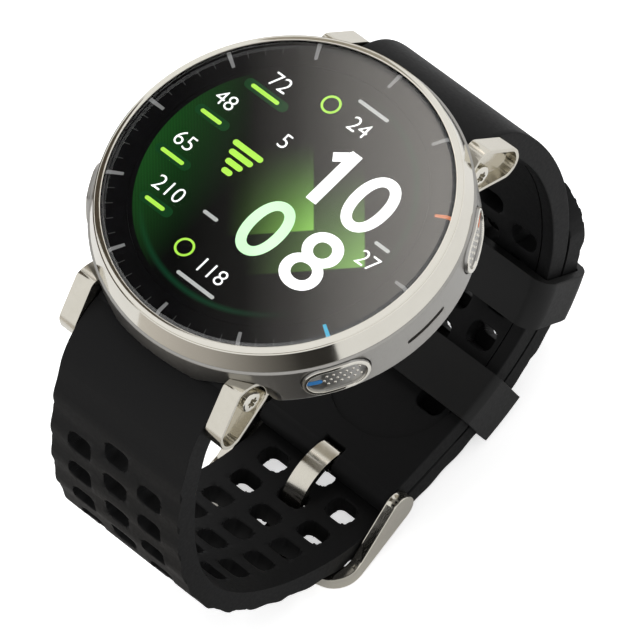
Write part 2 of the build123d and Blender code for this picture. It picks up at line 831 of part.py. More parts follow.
# ---- keepers ----
def keeper_section(wall, corner):
    """The loop's section, local X across the strap and local Y outwards from the short strap's middle."""
    low = -short_thickness / 2 - keeper_gap
    high = layer_offset + long_thickness / 2 + ridge_height + keeper_gap
    half = strap_width / 2 + keeper_gap / 2
    inner = Pos(0, (low + high) / 2) * RectangleRounded(2 * half, high - low, keeper_inner_corner)
    outer = Pos(0, (low + high) / 2) * RectangleRounded(2 * (half + keeper_side_wall),
                                                        high - low + 2 * wall, corner)
    return outer - inner


def make_keeper(place, bend_radius, wall, corner):
    """A loop that follows the bend of the strap under it, and so can slide, with both ends cut parallel."""
    start = place - keeper_length
    heading = radians(short_path.at(start)[1])
    section_plane = Plane(origin=short_path.beside(start, 0), x_dir=(-1, 0, 0),
                          z_dir=(0, cos(heading), sin(heading)))
    centre = short_path.beside(start, -bend_radius)
    sweep = degrees(2 * keeper_length / bend_radius)
    loop = revolve(section_plane * keeper_section(wall, corner), Axis(centre, (-1, 0, 0)), sweep)
    return loop & short_path.plane(place) * Box(2 * strap_width, keeper_length, strap_width)


# ---- buckle ----
def make_tongue():
    """A flat pin bent over the strap's edge, with a knuckle round the spring bar."""
    half = tongue_thickness / 2
    pin = ribbon(tongue_path, 0, tongue_path.length, lambda s: -half, lambda s: half, 0.5)
    body = across(pin, tongue_width / 2)
    body += rod(bar_y, bar_z, tongue_knuckle_radius, -tongue_width / 2, tongue_width / 2)
    return body - rod(bar_y, bar_z, bar_radius + running_fit, -tongue_width, tongue_width)


def make_spring_bar():
    half = strap_width / 2
    tip = half + side_gap + bar_tip_length
    return rod(bar_y, bar_z, bar_radius, -half, half) + rod(bar_y, bar_z, bar_tip_radius, -tip, tip)


def arm_side():
    """The frame from the side: arms that leave their round ends at a tangent and run into the front bar."""
    top = radians(arm_top_slope)
    bottom = radians(arm_bottom_slope)
    rise = frame_top - bar_z - arm_end_radius / cos(top)
    fall = frame_bottom - bar_z + arm_end_radius / cos(bottom)
    front_y = frame_front_y - frame_front_width
    corners = [(bar_y - arm_end_radius * sin(top), bar_z + arm_end_radius * cos(top)),
               (bar_y + rise / tan(top), frame_top), (front_y, frame_top), (front_y, frame_bottom),
               (bar_y + fall / tan(bottom), frame_bottom),
               (bar_y + arm_end_radius * sin(bottom), bar_z - arm_end_radius * cos(bottom))]
    outline = Face(Wire.make_polygon([(0, y, z) for y, z in corners], close=True))
    knees = sorted(outline.vertices(), key=lambda corner: abs(corner.Y - corners[1][0]))[:2]
    return outline.fillet_2d(arm_knee_round, knees).outer_wire()


def make_buckle_frame():
    """A bent, D-shaped frame: two arms from the spring bar and a bowed front bar, notched for the tongue."""
    inner_x = strap_width / 2 + side_gap
    outer_x = inner_x + arm_thickness
    body = across(arm_side(), outer_x) + rod(bar_y, bar_z, arm_end_radius, -outer_x, outer_x)
    plan = frame_plan(outer_x, frame_front_y, frame_corner_radius)
    plan -= frame_plan(inner_x, frame_front_y + frame_front_width, frame_inner_corner_radius)
    body &= Pos(0, 0, frame_bottom) * extrude(plan, bar_z + arm_back_room - frame_bottom)
    tip = inner_x + bar_tip_length + running_fit
    body -= rod(bar_y, bar_z, bar_tip_radius + running_fit, -tip, tip)
    under_end = long_path.tail_length + 2 * frame_reach
    strap_space = ribbon(long_path, long_path.tail_length, under_end, lambda s: -long_thickness,
                         lambda s: long_thickness / 2 + ridge_height + frame_swing_gap, hole_pitch / 2)
    body -= across(strap_space, inner_x)
    notch_half = tongue_width / 2 + notch_gap
    notch_top = frame_bottom + tongue_sink + tongue_thickness + notch_gap
    notch_back = frame_front_y + 2 * frame_front_width
    return body - block((-notch_half, notch_half), (frame_front_y, notch_back), (frame_bottom, notch_top))


def frame_plan(half_width, front_y, corner):
    """The frame from above: straight arms, round corners and a bowed front."""
    shoulder = front_y + frame_bow
    back_y = bar_y + arm_back_room
    arms = Polyline((-half_width, shoulder), (-half_width, back_y), (half_width, back_y),
                    (half_width, shoulder))
    front = ThreePointArc((half_width, shoulder), (0, front_y), (-half_width, shoulder))
    outline = make_face(arms + front)
    return fillet(outline.vertices().group_by(Axis.Y)[0], corner)


# ---- the whole watch ----
def make_pieces():
    """Every node's solids, by name."""
    marks = make_hour_marks()
    sides = {"12": 1, "6": -1}
    hands = {"right": 1, "left": -1}
    corners = [(side, hand) for side in (1, -1) for hand in (1, -1)]
    pockets = [lug_prism(side, hand, seam, lug_face_x, case_radius + 1) for side, hand in corners]
    pieces = {
        "glass": [make_glass()],
        "dial_ring": [make_dial_ring(marks)],
        "hour_mark_orange": [marks.pop(orange_mark_angle)],
        "hour_mark_blue": [marks.pop(blue_mark_angle)],
        "hour_marks": list(marks.values()),
        "display_panel": [disc(dial_ring_inner_radius - seam, glass_underside, display_underside)],
        "glass_gasket": [ring(glass_radius, glass_radius - gasket_width, dial_ring_underside, bezel_seat)],
        "bezel": [make_bezel()],
        "gps_antenna": [make_antenna()],
        "inner_frame": [make_inner_frame()],
        "battery": [make_battery()],
        "main_board": [make_main_board()],
        "vibration_motor": [make_motor()],
        "speaker": [make_speaker()],
        "speaker_mesh": [make_port_mesh()],
        "button_switches": [make_switch(angle) for angle in button_angles.values()],
        "mid_case": [make_mid_case(pockets)],
        "case_seal": [make_seal()],
        "case_back": [make_case_back()],
        "case_back_screws": make_back_screws(),
        "sensor_window": [make_window()],
        "sensor_board": [disc(sensor_board_radius, back_bottom + window_seat + sensor_board_thickness,
                              back_bottom + window_seat)],
        "charging_contacts": make_contacts(),
        "button_seals": [make_button_seal(angle) for angle in button_angles.values()],
        "lug_screws": [make_lug_screw(side, hand) for side, hand in corners],
        "strap_tubes": [make_strap_tube(side) for side in (1, -1)],
        "short_strap": [make_short_strap()],
        "long_strap": [make_long_strap()],
        "upper_keeper": [make_keeper(upper_keeper_place, upper_keeper_bend, upper_keeper_wall,
                                     upper_keeper_corner)],
        "lower_keeper": [make_keeper(lower_keeper_place, lower_keeper_bend, lower_keeper_wall,
                                     lower_keeper_corner)],
        "buckle_frame": [make_buckle_frame()],
        "buckle_tongue": [make_tongue()],
        "spring_bar": [make_spring_bar()],
    }
    for name, angle in button_angles.items():
        button = make_button(angle)
        if name in inlay_sides:
            inlay = make_inlay(angle, inlay_sides[name])
            pieces[name + "_inlay"] = [inlay]
            button -= inlay
        pieces[name] = [button]
    for side_name, side in sides.items():
        for hand_name, hand in hands.items():
            pieces["lug_" + side_name + "_" + hand_name] = [make_lug(side, hand)]
    return pieces


def anchors():
    """Where the joints turn, in the YZ plane."""
    upper = short_path.beside(upper_keeper_place, -upper_keeper_bend)[1:]
    lower = short_path.beside(lower_keeper_place, -lower_keeper_bend)[1:]
    return {"spring bar": (bar_y, bar_z), "upper keeper bend": upper, "lower keeper bend": lower,
            "strap pivots": (pivot_y, pivot_z), "dial": (0, 0)}


def write_pieces(pieces):
    """Shift everything to the common origin and write one STEP file for each node."""
    whole = Compound([solid for shapes in pieces.values() for shape in shapes for solid in shape.solids()])
    box = whole.bounding_box()
    shift = Vector(-box.center().X, -box.center().Y, -box.min.Z)
    print("shift to the origin", round(shift.X, 4), round(shift.Y, 4), round(shift.Z, 4))
    print("size", [round(value, 3) for value in box.size])
    for name, (y, z) in anchors().items():
        print(name, [round(y + shift.Y, 4), round(z + shift.Z, 4)])
    os.makedirs("parts", exist_ok=True)
    for name, shapes in pieces.items():
        solids = [solid.moved(Pos(*shift)) for shape in shapes for solid in shape.solids()]
        node = solids[0] if len(solids) == 1 else Compound(solids)
        node.label = name
        export_step(node, "parts/" + name + ".step")


write_pieces(make_pieces())
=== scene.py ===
import json
import math

import bmesh
import bpy
from mathutils import Matrix, Vector

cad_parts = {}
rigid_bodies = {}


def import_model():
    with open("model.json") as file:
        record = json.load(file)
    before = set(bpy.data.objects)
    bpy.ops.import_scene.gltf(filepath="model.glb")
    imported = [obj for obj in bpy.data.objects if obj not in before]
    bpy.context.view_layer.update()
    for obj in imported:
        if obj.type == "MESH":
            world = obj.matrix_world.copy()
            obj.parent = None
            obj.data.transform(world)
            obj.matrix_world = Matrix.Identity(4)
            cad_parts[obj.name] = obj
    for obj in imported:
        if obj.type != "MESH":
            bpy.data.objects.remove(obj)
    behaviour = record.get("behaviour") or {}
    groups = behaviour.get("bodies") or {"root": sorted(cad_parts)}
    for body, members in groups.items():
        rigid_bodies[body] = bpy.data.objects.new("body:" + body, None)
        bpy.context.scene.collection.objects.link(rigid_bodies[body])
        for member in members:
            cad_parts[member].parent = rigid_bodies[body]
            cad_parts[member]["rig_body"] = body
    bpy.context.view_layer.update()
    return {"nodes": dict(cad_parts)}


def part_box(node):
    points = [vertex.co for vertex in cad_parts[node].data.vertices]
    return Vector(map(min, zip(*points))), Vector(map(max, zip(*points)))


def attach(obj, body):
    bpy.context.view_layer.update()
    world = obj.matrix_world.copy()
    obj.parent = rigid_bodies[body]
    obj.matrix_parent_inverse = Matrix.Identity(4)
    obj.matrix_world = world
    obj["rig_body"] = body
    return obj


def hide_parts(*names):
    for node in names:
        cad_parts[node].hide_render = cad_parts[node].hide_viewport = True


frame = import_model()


# ==== Camera ====
# A long lens looks down on the dial from beyond 4 o'clock, so that the round case shows as an
# ellipse with the loop of the strap below it.
mm = 0.001
glass_low, glass_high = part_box("glass")
dial = Vector(((glass_low.x + glass_high.x) / 2, (glass_low.y + glass_high.y) / 2, glass_high.z))
camera_height = 738.91
camera_place = Vector((393.94, -265.12, camera_height))
camera_back = Vector((0.4348, -0.2940, 0.8512)).normalized()
camera_side = Vector((0.7199, 0.6814, -0.1324))
camera_up = camera_back.cross(camera_side).normalized()
camera_right = camera_up.cross(camera_back)

camera_data = bpy.data.cameras.new("studio_camera")
camera_data.lens = 408.4
camera_data.sensor_width = 36
camera_data.clip_end = 5
camera = bpy.data.objects.new("studio_camera", camera_data)
bpy.context.scene.collection.objects.link(camera)
camera.matrix_world = Matrix((camera_right, camera_up, camera_back)).transposed().to_4x4()
camera.location = dial + camera_place * mm
bpy.context.scene.camera = camera


# ==== Table and studio light ====
# A white table, lit so that it fades into a white room, with one broad lamp above. Cards that
# stand out of sight show only in the polished metal and in the glass.
def place(name, shape):
    """Make an object of a finished bmesh."""
    mesh = bpy.data.meshes.new(name)
    shape.to_mesh(mesh)
    shape.free()
    piece = bpy.data.objects.new(name, mesh)
    bpy.context.scene.collection.objects.link(piece)
    return piece


def new_material(name):
    """A material with its nodes and its links."""
    material = bpy.data.materials.new(name)
    material.use_nodes = True
    return material, material.node_tree.nodes, material.node_tree.links


def wear(piece, *materials):
    """Give a piece its materials."""
    piece.data.materials.clear()
    for material in materials:
        piece.data.materials.append(material)


def reckon(tree, operation, *values, clamp=False):
    """One sum in a shader, on numbers or on what other nodes give."""
    step = tree.nodes.new("ShaderNodeMath")
    step.operation = operation
    step.use_clamp = clamp
    for socket, value in zip(step.inputs, values):
        if isinstance(value, bpy.types.NodeSocket):
            tree.links.new(value, socket)
        else:
            socket.default_value = value
    return step.outputs["Value"]


def grain_group():
    """Noise that runs through the piece, stretched along the way it was worked."""
    group = bpy.data.node_groups.new("surface_grain", "ShaderNodeTree")
    group.interface.new_socket("Scale", in_out="INPUT", socket_type="NodeSocketFloat")
    group.interface.new_socket("Stretch", in_out="INPUT", socket_type="NodeSocketVector")
    group.interface.new_socket("Grain", in_out="OUTPUT", socket_type="NodeSocketFloat")
    inside = group.nodes.new("NodeGroupInput")
    outside = group.nodes.new("NodeGroupOutput")
    where = group.nodes.new("ShaderNodeTexCoord")
    stretched = group.nodes.new("ShaderNodeVectorMath")
    stretched.operation = "MULTIPLY"
    noise = group.nodes.new("ShaderNodeTexNoise")
    noise.inputs["Detail"].default_value = 4
    group.links.new(where.outputs["Object"], stretched.inputs[0])
    group.links.new(inside.outputs["Stretch"], stretched.inputs[1])
    group.links.new(stretched.outputs["Vector"], noise.inputs["Vector"])
    group.links.new(inside.outputs["Scale"], noise.inputs["Scale"])
    group.links.new(noise.outputs["Fac"], outside.inputs["Grain"])
    return group


surface_grain = grain_group()


def finish(name, dark, light, rough, metallic=0.0, scale=900, relief=0.0, specular=0.5, glow=0.0,
           painted_crease_shade=0.0):
    """A surface whose grain shifts its colour and its gloss a little and lifts it slightly. With a
    length for painted shade it darkens its own corners and creases with painted shade."""
    material, nodes, links = new_material(name)
    shader = nodes["Principled BSDF"]
    grain = nodes.new("ShaderNodeGroup")
    grain.node_tree = surface_grain
    grain.inputs["Scale"].default_value = scale
    grain.inputs["Stretch"].default_value = (1, 1, 1)
    tint = nodes.new("ShaderNodeMix")
    tint.data_type = "RGBA"
    tint.inputs["A"].default_value = (*dark, 1)
    tint.inputs["B"].default_value = (*light, 1)
    gloss = nodes.new("ShaderNodeMapRange")
    usual_grain = (0.3, 0.7)
    for end, value in zip(("From Min", "From Max", "To Min", "To Max"), (*usual_grain, *rough)):
        gloss.inputs[end].default_value = value
    links.new(grain.outputs["Grain"], tint.inputs["Factor"])
    links.new(grain.outputs["Grain"], gloss.inputs["Value"])
    colour = tint.outputs["Result"]
    if painted_crease_shade:
        # Painted shade: ambient occlusion darkens the colour in corners and creases.
        corner = nodes.new("ShaderNodeAmbientOcclusion")
        corner.only_local = True
        corner.inputs["Distance"].default_value = painted_crease_shade
        links.new(colour, corner.inputs["Color"])
        colour = corner.outputs["Color"]
    links.new(colour, shader.inputs["Base Color"])
    links.new(gloss.outputs["Result"], shader.inputs["Roughness"])
    shader.inputs["Metallic"].default_value = metallic
    shader.inputs["Specular IOR Level"].default_value = specular
    if glow:
        links.new(tint.outputs["Result"], shader.inputs["Emission Color"])
        shader.inputs["Emission Strength"].default_value = glow
    if relief:
        bump = nodes.new("ShaderNodeBump")
        bump.inputs["Distance"].default_value = relief
        links.new(grain.outputs["Grain"], bump.inputs["Height"])
        links.new(bump.outputs["Normal"], shader.inputs["Normal"])
    return material


# The table adds a glow of its own only where it is seen directly, so that it meets the white room
# and still holds the shadow.
table_half_width = 3
table_glow = 0.6
table_white = finish("table_white", dark=(0.93, 0.93, 0.93), light=(0.96, 0.96, 0.96), rough=(0.7, 0.8),
                     specular=0.1, scale=40)
table_ray = table_white.node_tree.nodes.new("ShaderNodeLightPath")
table_shader = table_white.node_tree.nodes["Principled BSDF"]
table_shader.inputs["Emission Color"].default_value = (1, 1, 1, 1)
seen_glow = reckon(table_white.node_tree, "MULTIPLY", table_ray.outputs["Is Camera Ray"], table_glow)
table_white.node_tree.links.new(seen_glow, table_shader.inputs["Emission Strength"])
table_shape = bmesh.new()
bmesh.ops.create_grid(table_shape, x_segments=2, y_segments=2, size=table_half_width)
table = place("table", table_shape)
wear(table, table_white)

# The room is white where it is seen or mirrored, and lights matt surfaces a little less.
room_seen = 1.0
room_light = 0.75
world = bpy.data.worlds.new("studio")
world.use_nodes = True
bpy.context.scene.world = world
sky = world.node_tree.nodes["Background"]
ray = world.node_tree.nodes.new("ShaderNodeLightPath")
fill = world.node_tree.nodes.new("ShaderNodeMapRange")
fill.inputs["To Min"].default_value = room_seen
fill.inputs["To Max"].default_value = room_light
world.node_tree.links.new(ray.outputs["Is Diffuse Ray"], fill.inputs["Value"])
world.node_tree.links.new(fill.outputs["Result"], sky.inputs["Strength"])
sky.inputs["Color"].default_value = (1, 1, 1, 1)
bpy.context.scene.view_settings.view_transform = "Standard"

lamp_place = Vector((-350, 250, 900))
lamp_width = 500
lamp_data = bpy.data.lights.new("key_lamp", "AREA")
lamp_data.shape = "DISK"
lamp_data.size = lamp_width * mm
lamp_data.energy = 3.2
lamp = bpy.data.objects.new("key_lamp", lamp_data)
bpy.context.scene.collection.objects.link(lamp)
lamp.location = dial + lamp_place * mm
lamp.rotation_mode = "QUATERNION"
lamp.rotation_quaternion = (dial - lamp.location).to_track_quat("-Z", "Y")
lamp.visible_glossy = False
lamp.visible_transmission = False


def mirror_card(name, corners_mm, material, through_glass=False):
    """A card that only shiny surfaces see, its corners given from the middle of the dial."""
    shape = bmesh.new()
    corners = [shape.verts.new(dial + Vector(corner) * mm) for corner in corners_mm]
    bmesh.ops.contextual_create(shape, geom=corners)
    card = place(name, shape)
    wear(card, material)
    card.visible_camera = False
    card.visible_diffuse = False
    card.visible_shadow = False
    card.visible_transmission = through_glass


def round_card(name, azimuths, elevations, material):
    """A card that covers a window of the room, from one azimuth and elevation to another."""
    distance = 350
    corners = []
    for side, end in ((0, 0), (1, 0), (1, 1), (0, 1)):
        azimuth = math.radians(azimuths[side])
        elevation = math.radians(elevations[end])
        corners.append((distance * math.cos(elevation) * math.cos(azimuth),
                        distance * math.cos(elevation) * math.sin(azimuth),
                        distance * math.sin(elevation)))
    mirror_card(name, corners, material)


def graded_light(name, kind, start, turn, scale, stops, strength):
    """A warm light that changes by stops along a line, or round a point."""
    warm_green = 0.95
    warm_blue = 0.89
    material, inside, links = new_material(name)
    shader = inside["Principled BSDF"]
    shader.inputs["Base Color"].default_value = (0, 0, 0, 1)
    shader.inputs["Specular IOR Level"].default_value = 0
    where = inside.new("ShaderNodeTexCoord")
    lie = inside.new("ShaderNodeMapping")
    lie.vector_type = "TEXTURE"
    lie.inputs["Location"].default_value = start
    lie.inputs["Rotation"].default_value = (0, 0, turn)
    lie.inputs["Scale"].default_value = [scale] * 3
    fade = inside.new("ShaderNodeTexGradient")
    fade.gradient_type = kind
    ramp = inside.new("ShaderNodeValToRGB")
    ramp.color_ramp.elements.remove(ramp.color_ramp.elements[1])
    ramp.color_ramp.elements[0].position = stops[0][0]
    for number, (stop, level) in enumerate(stops):
        element = ramp.color_ramp.elements.new(stop) if number else ramp.color_ramp.elements[0]
        element.color = (level, level * warm_green, level * warm_blue, 1)
    links.new(where.outputs["Object"], lie.inputs["Vector"])
    links.new(lie.outputs["Vector"], fade.inputs["Vector"])
    links.new(fade.outputs["Fac"], ramp.inputs["Fac"])
    links.new(ramp.outputs["Color"], shader.inputs["Emission Color"])
    shader.inputs["Emission Strength"].default_value = strength
    return material


# Two brown cards stand to the left and behind, and show in the bezel.
dark_brown = finish("dark_brown", dark=(0.085, 0.070, 0.050), light=(0.105, 0.085, 0.062),
                    rough=(0.8, 0.9), specular=0.1)
pale_brown = finish("pale_brown", dark=(0.42, 0.385, 0.32), light=(0.46, 0.425, 0.36),
                    rough=(0.8, 0.9), specular=0.1)
round_card("left_card", azimuths=(163, 197), elevations=(20, 66), material=dark_brown)
round_card("back_card", azimuths=(121, 143), elevations=(18, 46), material=pale_brown)

# A card just over the table, seen only in shiny surfaces, carries a painted shadow of the watch on
# the table that darkens towards 6 o'clock. Each corner has its reach and its azimuth.
floor_gap = 1
floor_drop = -dial.z / mm + floor_gap
floor_reach = ((42, -26.5), (420, -26.5), (420, -75), (420, -122), (45, -122), (42, -75))
floor_corners = [(reach * math.cos(math.radians(azimuth)), reach * math.sin(math.radians(azimuth)),
                  floor_drop) for reach, azimuth in floor_reach]
floor_stops = ((0.16, 0.67), (0.265, 0.42), (0.33, 0.18), (0.38, 0.038), (0.43, 0.03))
floor_shade = graded_light("floor_shade", "RADIAL", start=dial, turn=0, scale=mm, stops=floor_stops,
                           strength=1)
mirror_card("table_card", floor_corners, floor_shade)

# A lit card hangs where the flat glass mirrors it, bright to the right and dark to the left.
card_height = 340
card_swell = 1 + card_height / camera_height
card_middle = Vector((-181.3, 122.0, card_height))
card_turn = math.radians(43.4)
card_half_width = 40
light_length = 40
brightward = Vector((math.cos(card_turn), math.sin(card_turn), 0))
card_start = card_middle - brightward * card_swell * light_length / 2
lit_stops = ((0.2, 0.008), (0.4, 0.048), (0.55, 0.21), (0.75, 0.63), (1, 1))
lit_card = graded_light("lit_card", "LINEAR", start=dial + card_start * mm, turn=card_turn,
                        scale=card_swell * light_length * mm, stops=lit_stops, strength=3)
card_corners = [card_middle + Vector((side, end, 0)) * card_half_width
                for side, end in ((-1, -1), (1, -1), (1, 1), (-1, 1))]
mirror_card("glass_card", card_corners, lit_card, through_glass=True)


# ==== Case ====
# The middle of the case is a ring of steel, turned and blasted to an even satin, with round
# hollows for the strap ends. The back is a satin plate on a rubber seal, held by four screws.
nodes = frame["nodes"]
same_point = 0.001 * mm


def stand_for(piece, *names):
    """The piece moves with its solids and shows in their place."""
    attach(piece, nodes[names[0]]["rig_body"])
    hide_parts(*names)
    return piece


def ease(shape, edge, segments=2):
    """Round the sharp edges that have room for it, and shade the rest smooth."""
    sharp_turn = math.radians(30)
    crisp_turn = math.radians(35)
    least_room = 1.2 * edge * mm

    def room(line):
        return min(face.calc_area() for face in line.link_faces) / line.calc_length()

    sharp = [line for line in shape.edges
             if line.calc_face_angle(0) > sharp_turn and room(line) > least_room]
    bmesh.ops.bevel(shape, geom=sharp, affect="EDGES", offset=edge * mm, offset_type="OFFSET",
                    segments=segments, profile=0.5, material=-1, clamp_overlap=False)
    for face in shape.faces:
        face.smooth = True
    for line in shape.edges:
        line.smooth = line.calc_face_angle(0) < crisp_turn


def even_shading(piece):
    """Keep large faces flat to the eye where they meet an eased edge."""
    even = piece.modifiers.new("even_shading", "WEIGHTED_NORMAL")
    even.keep_sharp = True
    return piece


def rounded_copy(node, name, edge):
    """A copy of a solid piece with its sharp edges eased and smooth shading. Only faces that lie in
    one plane are joined, because curved walls have to keep their shape."""
    flat_turn = math.radians(0.1)
    shape = bmesh.new()
    shape.from_mesh(nodes[node].data)
    bmesh.ops.remove_doubles(shape, verts=shape.verts, dist=same_point)
    bmesh.ops.dissolve_limit(shape, angle_limit=flat_turn, verts=shape.verts, edges=shape.edges)
    ease(shape, edge)
    return stand_for(even_shading(place(name, shape)), node)


satin_steel = finish("satin_steel", dark=(0.31, 0.302, 0.285), light=(0.38, 0.370, 0.350),
                     rough=(0.28, 0.38), metallic=1.0, scale=2600, relief=0.004 * mm)
small_metal = finish("small_metal", dark=(0.60, 0.60, 0.60), light=(0.70, 0.70, 0.69),
                     rough=(0.22, 0.34), metallic=1.0, scale=1500)
seal_rubber = finish("seal_rubber", dark=(0.012, 0.012, 0.012), light=(0.02, 0.02, 0.02),
                     rough=(0.5, 0.65), scale=2000)
wear(rounded_copy("mid_case", "mid_case_satin", edge=0.08), satin_steel)
wear(rounded_copy("case_back", "case_back_satin", edge=0.08), satin_steel)
wear(nodes["case_back_screws"], small_metal)
wear(nodes["case_seal"], seal_rubber)
wear(nodes["speaker_mesh"], satin_steel)


# ==== Inside the case ====
# A moulded frame carries the circuit board, the battery, a copper aerial, the speaker, the motor
# that makes the watch buzz, and the switches of the buttons. None of it shows.
circuit_green = finish("circuit_green", dark=(0.01, 0.05, 0.025), light=(0.015, 0.08, 0.04),
                       rough=(0.3, 0.5), scale=3000)
battery_foil = finish("battery_foil", dark=(0.35, 0.36, 0.38), light=(0.45, 0.46, 0.48),
                      rough=(0.3, 0.45), metallic=0.6)
copper_foil = finish("copper_foil", dark=(0.55, 0.32, 0.2), light=(0.65, 0.38, 0.25),
                     rough=(0.25, 0.4), metallic=1.0)
black_plastic = finish("black_plastic", dark=(0.015, 0.015, 0.016), light=(0.022, 0.022, 0.023),
                       rough=(0.4, 0.55), scale=1800)
wear(nodes["main_board"], circuit_green)
wear(nodes["battery"], battery_foil)
wear(nodes["gps_antenna"], copper_foil)
wear(nodes["vibration_motor"], small_metal)
for name in ("inner_frame", "speaker", "button_switches"):
    wear(nodes[name], black_plastic)


# ==== Pulse sensor and charging contacts ====
# A dark glass window in the case back, with the board of the sensor behind it, and gilt pins
# beside it that take the charging current.
sensor_black = finish("sensor_black", dark=(0.004, 0.004, 0.005), light=(0.008, 0.008, 0.009),
                      rough=(0.03, 0.06), scale=200)
gold_plate = finish("gold_plate", dark=(0.75, 0.56, 0.28), light=(0.85, 0.65, 0.33),
                    rough=(0.15, 0.3), metallic=1.0)
wear(nodes["sensor_window"], sensor_black)
wear(nodes["sensor_board"], circuit_green)
wear(nodes["charging_contacts"], gold_plate)


# ==== Bezel ====
# A polished steel ring, turned in one piece: a narrow top that slopes outwards, a cone below it,
# and a short skirt that sits in the case.
def turned(name, outline_mm, edge):
    """A ring or disc turned about the dial's axis, its corners eased. Its outline is a loop of
    radius and height, and a side that lies on the axis is left out."""
    steps = 256
    shape = bmesh.new()
    corners = [shape.verts.new(dial + Vector((radius, 0, height)) * mm) for radius, height in outline_mm]
    count = len(corners)
    lines = [shape.edges.new((corners[k], corners[(k + 1) % count])) for k in range(count)
             if outline_mm[k][0] or outline_mm[(k + 1) % count][0]]
    bmesh.ops.spin(shape, geom=corners + lines, cent=dial, axis=(0, 0, 1), angle=math.tau, steps=steps,
                   use_merge=True)
    bmesh.ops.remove_doubles(shape, verts=shape.verts, dist=same_point)
    bmesh.ops.recalc_face_normals(shape, faces=shape.faces)
    if edge:
        ease(shape, edge)
    return even_shading(place(name, shape))


polished_steel = finish("polished_steel", dark=(0.70, 0.675, 0.605), light=(0.77, 0.745, 0.675),
                        rough=(0.06, 0.12), metallic=1.0, scale=300)
bezel_top = ((21.75, 0), (22.58, -0.21), (22.60, -0.42), (22.74, -0.45))
bezel_cone = ((23.6, -3.1), (21.4, -3.1))
bezel_skirt = ((21.4, -4.1), (20.95, -4.1))
bezel_seat = ((20.95, -1.55), (21.75, -1.55))
bezel_outline = bezel_top + bezel_cone + bezel_skirt + bezel_seat
wear(stand_for(turned("bezel_polished", bezel_outline, edge=0.12), "bezel"), polished_steel)


# ==== Glass ====
# A flat crystal with a small bevel ground round its edge. It lies flush in the seat of the bezel,
# on a flat rubber gasket that keeps water out.
crystal, crystal_nodes, crystal_links = new_material("crystal")
crystal_shader = crystal_nodes["Principled BSDF"]
crystal_shader.inputs["Roughness"].default_value = 0.0
crystal_shader.inputs["Transmission Weight"].default_value = 1.0
crystal_grain = crystal_nodes.new("ShaderNodeGroup")
crystal_grain.node_tree = surface_grain
crystal_grain.inputs["Scale"].default_value = 60
crystal_grain.inputs["Stretch"].default_value = (1, 1, 1)
crystal_tint = crystal_nodes.new("ShaderNodeMix")
crystal_tint.data_type = "RGBA"
crystal_tint.inputs["A"].default_value = (0.98, 0.99, 0.985, 1)
crystal_tint.inputs["B"].default_value = (1, 1, 1, 1)
crystal_links.new(crystal_grain.outputs["Grain"], crystal_tint.inputs["Factor"])
crystal_links.new(crystal_tint.outputs["Result"], crystal_shader.inputs["Base Color"])
glass_outline = ((0, -1.14), (21.7, -1.14), (21.7, -0.35), (21.35, 0), (0, 0))
wear(stand_for(turned("glass_crystal", glass_outline, edge=0.05), "glass"), crystal)
wear(nodes["glass_gasket"], seal_rubber)


# ==== Dial ring ====
# A black ring printed under the edge of the glass, with twelve flat marks, one of them orange and
# one blue, and faint minute lines between them. The marks and lines glow with painted light, so
# that they show bright under the glass.
print_black = finish("print_black", dark=(0.004, 0.004, 0.005), light=(0.008, 0.008, 0.009),
                     rough=(0.4, 0.5), specular=0.0)
# Painted light: the marks and the minute lines glow though they are print and no lamp.
mark_grey = finish("mark_grey", dark=(0.13, 0.13, 0.13), light=(0.16, 0.16, 0.16),
                   rough=(0.4, 0.5), specular=0.0, glow=1.0)
mark_orange = finish("mark_orange", dark=(0.44, 0.13, 0.045), light=(0.50, 0.15, 0.05),
                     rough=(0.4, 0.5), specular=0.0, glow=0.8)
mark_blue = finish("mark_blue", dark=(0.03, 0.32, 0.50), light=(0.04, 0.36, 0.55),
                   rough=(0.4, 0.5), specular=0.0, glow=0.8)
minute_grey = finish("minute_grey", dark=(0.03, 0.03, 0.03), light=(0.04, 0.04, 0.04),
                     rough=(0.4, 0.5), specular=0.0, glow=0.6)
wear(nodes["dial_ring"], print_black)
wear(nodes["hour_marks"], mark_grey)
wear(nodes["hour_mark_orange"], mark_orange)
wear(nodes["hour_mark_blue"], mark_blue)

face_level = -1.2
ink_thick = 0.02


def printed_bar(shape, where, long, wide):
    """A thin bar of ink, placed by its middle."""
    size = Matrix.Diagonal((long * mm, wide * mm, ink_thick * mm, 1))
    bmesh.ops.create_cube(shape, size=1, matrix=where @ size)


minute_radius = 20.75
minute_long = 0.9
minute_wide = 0.12
minute_shape = bmesh.new()
for minute in range(60):
    if minute % 5:
        minute_place = (Matrix.Translation(dial) @ Matrix.Rotation(math.tau * minute / 60, 4, "Z")
                        @ Matrix.Translation(Vector((minute_radius, 0, face_level + ink_thick / 2)) * mm))
        printed_bar(minute_shape, minute_place, minute_long, minute_wide)
minute_lines = place("minute_lines", minute_shape)
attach(minute_lines, "watch")
wear(minute_lines, minute_grey)


